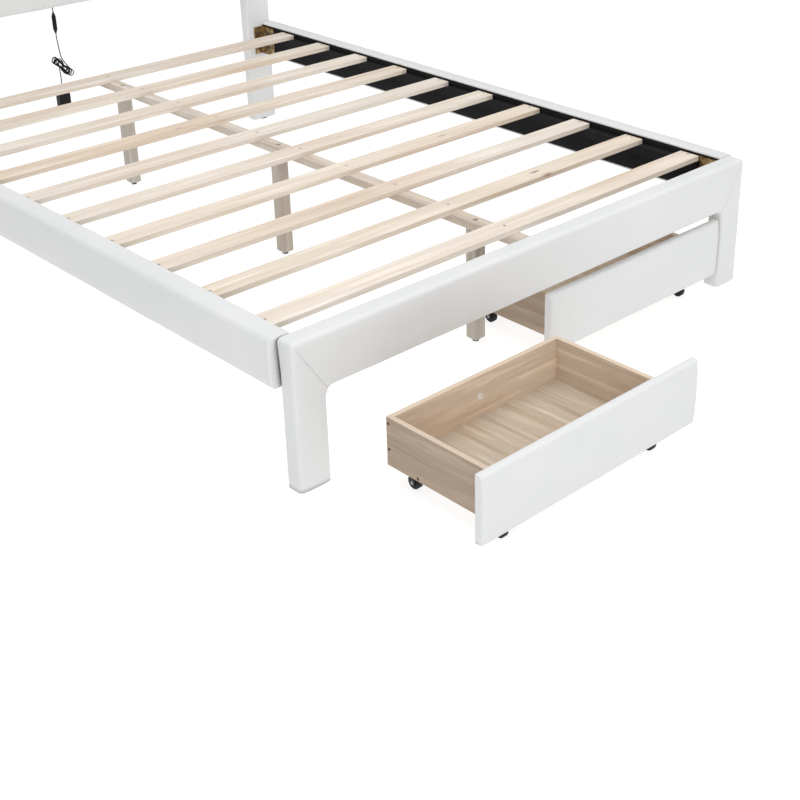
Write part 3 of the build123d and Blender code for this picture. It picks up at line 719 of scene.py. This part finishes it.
def headboard_cover():
    """Two padded posts and the padded panel between them, sewn where they meet."""
    front, back = head_low.y, head_high.y
    depth = back - front
    for side, word in ((-1, "left"), (1, "right")):
        section = rounded(HEAD_POST, depth, (0.006, 0.009, 0.005, 0.005), (0.0012, 0.0006, 0, 0))
        rings = []
        bottom, top = GLIDE, head_high.z
        for z in stations(bottom, top, 0.018, (0.0, 0.0006, 0.0015, 0.003, 0.006, 0.010)):
            low_end = z - bottom < 0.1
            draw = end_inset(z, bottom, top, 0.003 if low_end else 0.009)
            ring = []
            for u, v, nu, nv in section:
                x = side * (half_width - HEAD_POST + u)
                soft = unevenness((x, v, z), 0.0006, 9.0) if nv < -0.3 or nu > 0.5 else 0.0
                shift = soft - draw
                ring.append((x + side * nu * shift, front + v + nv * shift, z))
            rings.append(ring)
        verts, faces = loft(rings)
        post = piece(f"headboard_post_{word}_leather", verts, faces, white, "bed_frame",
                     ["headboard_cover"])
    inner = half_width - HEAD_POST
    frame_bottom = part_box("led_strip")[0].z - LED_INSET
    tall = head_high.z - frame_bottom
    section = rounded(depth, tall, (0.008, 0.005, 0.006, 0.010), (0.0006, 0, 0.0006, 0.0030), 0.012)
    rings = []
    for x in stations(-inner, inner, 0.016, (0.0, 0.0005, 0.0012, 0.0024, 0.005, 0.010)):
        draw = end_inset(x, -inner, inner, 0.0024)
        ring = []
        for u, v, nu, nv in section:
            z = frame_bottom + v
            soft = unevenness((x, 3.0, z), 0.0010, 7.0) if nu < 0.3 else 0.0
            shift = soft - draw
            ring.append((x, front + u + nu * shift, z + nv * shift))
        rings.append(ring)
    verts, faces = loft(rings)
    panel = piece("headboard_panel_leather", verts, faces, white, "bed_frame",
                  ["headboard_cover"])


def back_lining():
    """The black cloth on the headboard's back, with a turned hem."""
    low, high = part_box("headboard_back_lining")
    panel_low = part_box("led_strip")[0].z - LED_INSET + PAD
    columns = [low.x + (high.x - low.x) * k / 120 for k in range(121)]
    rows = [panel_low + (high.z - panel_low) * k / 44 for k in range(45)]
    thick, off_board, hem_height = 0.0006, 0.0004, 0.0003

    def place(layer, x, z):
        edge = min(x - low.x, high.x - x, z - panel_low, high.z - z)
        sag = min(1.0, edge / 0.02) * 0.0004 * noise.noise(Vector((x * 14, z * 14, 2)))
        hem = hem_height if edge < 0.010 else 0.0
        return (x, high.y + off_board + hem + sag - layer * thick, z)

    verts, faces = cloth(columns, rows, place)
    made = piece("headboard_lining_cloth", verts, faces, lining_black, "bed_frame",
                 ["headboard_back_lining"])


headboard_cover()
back_lining()


# ---- Drawer front covers -------------------------------------------------------------------

def drawer_front(drawer):
    """A padded drawer front: crowned face, soft ends and a recess where the board shows."""
    low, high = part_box(f"{drawer}_front_cover")
    depth, height = high.y - low.y, high.z - low.z
    skin = rounded(depth, height, (0.0065, 0.0015, 0.0025, 0.0088), (0, 0, 0.0004, 0.0032), 0.006)
    body = [p for p in skin if not (p[0] > depth - 0.0004
                                    and DRAWER_PAD < p[1] < height - DRAWER_PAD)]
    start = next(i for i, p in enumerate(body)
                 if p[1] >= height - DRAWER_PAD and p[0] > depth - 0.003)
    body = body[start:] + body[:start]
    recess = 0.0012
    round_end, round_share = 0.011, 0.58
    crease_depth, crease_place, crease_width = 0.0006, 0.0162, 0.0008
    rings = []
    fine = (0.0, 0.0004, 0.0012, 0.0024, 0.0034, 0.0038, 0.0055, 0.0075, 0.0098, 0.0125, 0.0152,
            0.0162, 0.0172, 0.020, 0.026)
    for x in stations(low.x, high.x, 0.010, fine):
        near = min(x - low.x, high.x - x)
        draw = end_inset(x, low.x, high.x, 0.0022)
        front_draw = end_inset(x, low.x, high.x, round_end) * round_share
        crease = crease_depth * math.exp(-((near - crease_place) / crease_width) ** 2)
        ring = []
        for u, v, nu, nv in body:
            point = (x, low.y + u, low.z + v)
            soft = unevenness(point, 0.0004, 10.0) if nu < 0.2 else 0.0
            facing = max(0.0, -nu)
            shift = soft - draw * (1 - facing) - facing ** 2 * (front_draw + crease)
            ring.append((x, point[1] + nu * shift, point[2] + nv * shift))
        inset = recess if near > DRAWER_PAD else 0.00005
        back_y = high.y - (draw if near < 0.002 else 0.0)
        ring += [(x, back_y, low.z + DRAWER_PAD), (x, back_y - inset, low.z + DRAWER_PAD),
                 (x, back_y - inset, high.z - DRAWER_PAD), (x, back_y, high.z - DRAWER_PAD)]
        rings.append(ring)
    verts, faces = loft(rings)
    made = piece(f"{drawer}_front_leather", verts, faces, white, drawer,
                 [f"{drawer}_front_cover"])


for drawer in ("left_drawer", "right_drawer"):
    drawer_front(drawer)


# ---- Power cord ----------------------------------------------------------------------------

gland_low, gland_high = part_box("cable_gland")
cord_y = (gland_low.y + gland_high.y) / 2
cord_x = (gland_low.x + gland_high.x) / 2
adapter_low, adapter_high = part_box("power_adapter")
connector_low, connector_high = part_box("inline_connector")
lower_x = (adapter_low.x + adapter_high.x) / 2
HANK_MIDDLE = (-0.0455, 0.329)
HANK_RUN = (61.0, -71.0)
TURN_GAP = 0.00305          # from one turn to the next, just over the cord's diameter
FOLD = 0.0094               # radius of a fold
WAIST_WIDE, WAIST_NARROW = 0.0052, 0.0020
# Each turn's reach to either side of the tie, and its shift off the hank's axis.
TURN_REACH = ((0.0390, 0.0340), (0.0250, 0.0390), (0.0350, 0.0220), (0.0180, 0.0300),
              (0.0385, 0.0180), (0.0290, 0.0385), (0.0220, 0.0270), (0.0390, 0.0360))
TURN_SHIFT = (0.0018, -0.0018, 0.0006, -0.0010, 0.0018, -0.0018, 0.0, 0.0010)


def curve(name, points, replaces):
    """A round cord along one NURBS spline."""
    data = bpy.data.curves.new(name, "CURVE")
    data.dimensions = "3D"
    data.bevel_depth = CORD / 2
    data.bevel_resolution = 4
    data.resolution_u = 10
    data.use_fill_caps = True
    spline = data.splines.new("NURBS")
    spline.points.add(len(points) - 1)
    for point, place in zip(spline.points, points):
        point.co = (*place, 1.0)
    spline.order_u = 3
    spline.use_endpoint_u = True
    data.materials.append(rubber)
    made = bpy.data.objects.new(name, data)
    bpy.context.scene.collection.objects.link(made)
    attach(made, "bed_frame")
    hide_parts(*replaces)
    return made


run = Vector(HANK_RUN).normalized()
across = Vector((-run.y, run.x))


def hank_place(along, aside, layer):
    """A point of the hank from its long axis, its width and its depth."""
    middle = Vector(HANK_MIDDLE) + run * along + across * aside
    return (middle.x, cord_y + layer, middle.y)


def turn_points(first, second, waist):
    """One turn of the hank in its own plane: two round folds, drawn in at the tie."""
    points = [(0.0, waist)]
    for sign, reach in ((1, first), (-1, second)):
        centre = reach - FOLD
        if sign > 0:
            points.append((centre * 0.5, (waist + FOLD) / 2))
        for step in range(7):
            turn = math.pi * (0.5 - step / 6)
            points.append((sign * (centre + FOLD * math.cos(turn)), sign * FOLD * math.sin(turn)))
        points.append((sign * centre * 0.5, -sign * (waist + FOLD) / 2))
        points.append((0.0, -sign * waist))
        if sign > 0:
            points.append((-(second - FOLD) * 0.5, -(waist + FOLD) / 2))
    return points[:-1]


adapter_top = adapter_high.z
first_layer = -(len(TURN_REACH) * TURN_GAP) / 2
lower = [(cord_x, cord_y, connector_low.z), (cord_x, cord_y, connector_low.z - 0.016),
         (cord_x + 0.0016, cord_y - 0.001, connector_low.z - 0.036),
         (cord_x + 0.0020, cord_y - 0.004, connector_low.z - 0.058),
         (cord_x + 0.0006, cord_y + first_layer, connector_low.z - 0.078)]
for turn, (first, second) in enumerate(TURN_REACH):
    waist = WAIST_WIDE - (WAIST_WIDE - WAIST_NARROW) * (turn % 3) / 2
    points = turn_points(first, second, waist)
    for index, (along, aside) in enumerate(points):
        if turn == 0 and index == 0:
            continue
        layer = first_layer + TURN_GAP * (turn + index / len(points))
        lower.append(hank_place(along, aside + TURN_SHIFT[turn], layer))
last_layer = first_layer + TURN_GAP * len(TURN_REACH)
lower = lower[:-1]
# The free end leaves the last turn and hangs down to the adapter.
lower += [(-0.0515, cord_y + last_layer, 0.3440), (-0.0495, cord_y + last_layer + 0.0004, 0.3320),
          (-0.0500, cord_y + last_layer - 0.001, 0.3160), (-0.0525, cord_y + 0.004, 0.2980),
          (lower_x + 0.0005, cord_y + 0.0005, 0.2800), (lower_x, cord_y, adapter_top + 0.006),
          (lower_x, cord_y, adapter_top)]

upper_cord = curve("cord_upper_wire",
                   [(cord_x, cord_y, gland_low.z), (cord_x, cord_y, gland_low.z - 0.014),
                    (cord_x + 0.0008, cord_y, gland_low.z - 0.028),
                    (cord_x, cord_y, connector_high.z + 0.010),
                    (cord_x, cord_y, connector_high.z)],
                   ["cord_upper"])
lower_cord = curve("cord_lower_wire", lower, ["cord_middle", "cord_hank", "cord_lower"])


def tie(along, thickness, width):
    """A flat plastic band round the hank."""
    around, squareness = 40, 0.75
    rings = []
    reach_across, reach_depth = 0.0090, last_layer + 0.0030
    for k in range(around):
        turn = 2 * math.pi * k / around
        c, s = math.cos(turn), math.sin(turn)
        u = math.copysign(abs(c) ** squareness, c)
        w = math.copysign(abs(s) ** squareness, s)
        ring = []
        for offset, shift in ((0, -width / 2), (thickness, -width / 2 * 0.8),
                              (thickness, width / 2 * 0.8), (0, width / 2)):
            ring.append(hank_place(along + shift, u * (reach_across + offset),
                                   w * (reach_depth + offset)))
        rings.append(ring)
    verts = [p for ring in rings for p in ring]
    faces = []
    for i in range(around):
        for j in range(4):
            a, b = i * 4, (i + 1) % around * 4
            k = (j + 1) % 4
            faces.append((a + j, a + k, b + k, b + j))
    return piece("hank_tie", verts, faces, black, "bed_frame")


tie_band = tie(0.0105, 0.0009, 0.0045)


# ---- Floor, light and camera ---------------------------------------------------------------

FLOOR_GLOW, SKY = 0.82, 0.56
LAMPS = (("key", (-0.6, -3.4, 3.0), (0.0, -0.5, 0.2), 2.4, 58.0),
         ("fill", (3.2, -1.2, 2.6), (0.2, 0.0, 0.2), 2.6, 20.0),
         ("side", (-3.2, -2.0, 1.2), (0.0, -0.6, 0.3), 2.0, 12.0),
         ("top", (-0.4, 0.2, 3.8), (0.0, 0.0, 0.0), 3.0, 62.0))


def studio():
    """A pale floor under a white sky, with broad soft lamps."""
    s = Shader("studio_floor")
    mottle = s.noise(s.place, 0.8, 2.0)
    tone = s.mix(s.ramp(mottle, 0.0, 1.0, 0.4, 0.6), (0.30, 0.30, 0.30), (0.31, 0.31, 0.31))
    s.finish(base_color=tone, roughness=0.9, specular_ior_level=0.0,
             emission_color=(1.0, 1.0, 1.0), emission_strength=FLOOR_GLOW)
    bm = bmesh.new()
    bmesh.ops.create_grid(bm, x_segments=8, y_segments=8, size=40.0)
    mesh = bpy.data.meshes.new("studio_floor")
    bm.to_mesh(mesh)
    bm.free()
    mesh.materials.append(s.material)
    floor = bpy.data.objects.new("studio_floor", mesh)
    bpy.context.scene.collection.objects.link(floor)
    floor.location.z = -0.0005

    world = bpy.data.worlds.new("studio")
    world.use_nodes = True
    background = world.node_tree.nodes["Background"]
    background.inputs["Color"].default_value = (1.0, 1.0, 1.0, 1.0)
    background.inputs["Strength"].default_value = SKY
    bpy.context.scene.world = world

    for name, place, aim, size, power in LAMPS:
        light = bpy.data.lights.new(name, "AREA")
        light.size = size
        light.energy = power
        lamp = bpy.data.objects.new(name, light)
        bpy.context.scene.collection.objects.link(lamp)
        lamp.location = place
        lamp.rotation_euler = (Vector(aim) - Vector(place)).to_track_quat("-Z", "Y").to_euler()


CAMERA_PLACE = (-2.146, -2.727, 1.567)
HEADING, DIP, ROLL = 44.89, 26.38, -0.11    # degrees
LENS, FRAME_SHIFT = 63.27, -0.1


def camera():
    """The photographer's view: over the foot's left corner, looking down at the slats."""
    heading, dip, roll = (math.radians(angle) for angle in (HEADING, DIP, ROLL))
    ahead = Vector((math.sin(heading) * math.cos(dip), math.cos(heading) * math.cos(dip),
                    -math.sin(dip)))
    right = Vector((math.cos(heading), -math.sin(heading), 0.0))
    up = right.cross(ahead)
    tilted = right * math.cos(roll) + up * math.sin(roll)
    upright = up * math.cos(roll) - right * math.sin(roll)
    data = bpy.data.cameras.new("camera")
    data.lens = LENS
    data.sensor_width = 36.0
    data.shift_x = FRAME_SHIFT
    data.shift_y = FRAME_SHIFT
    data.clip_end = 100.0
    made = bpy.data.objects.new("camera", data)
    bpy.context.scene.collection.objects.link(made)
    turn = Matrix((tilted, upright, -ahead)).transposed().to_4x4()
    made.matrix_world = Matrix.Translation(CAMERA_PLACE) @ turn
    bpy.context.scene.camera = made


studio()
camera()
bpy.context.scene.view_settings.view_transform = "Standard"
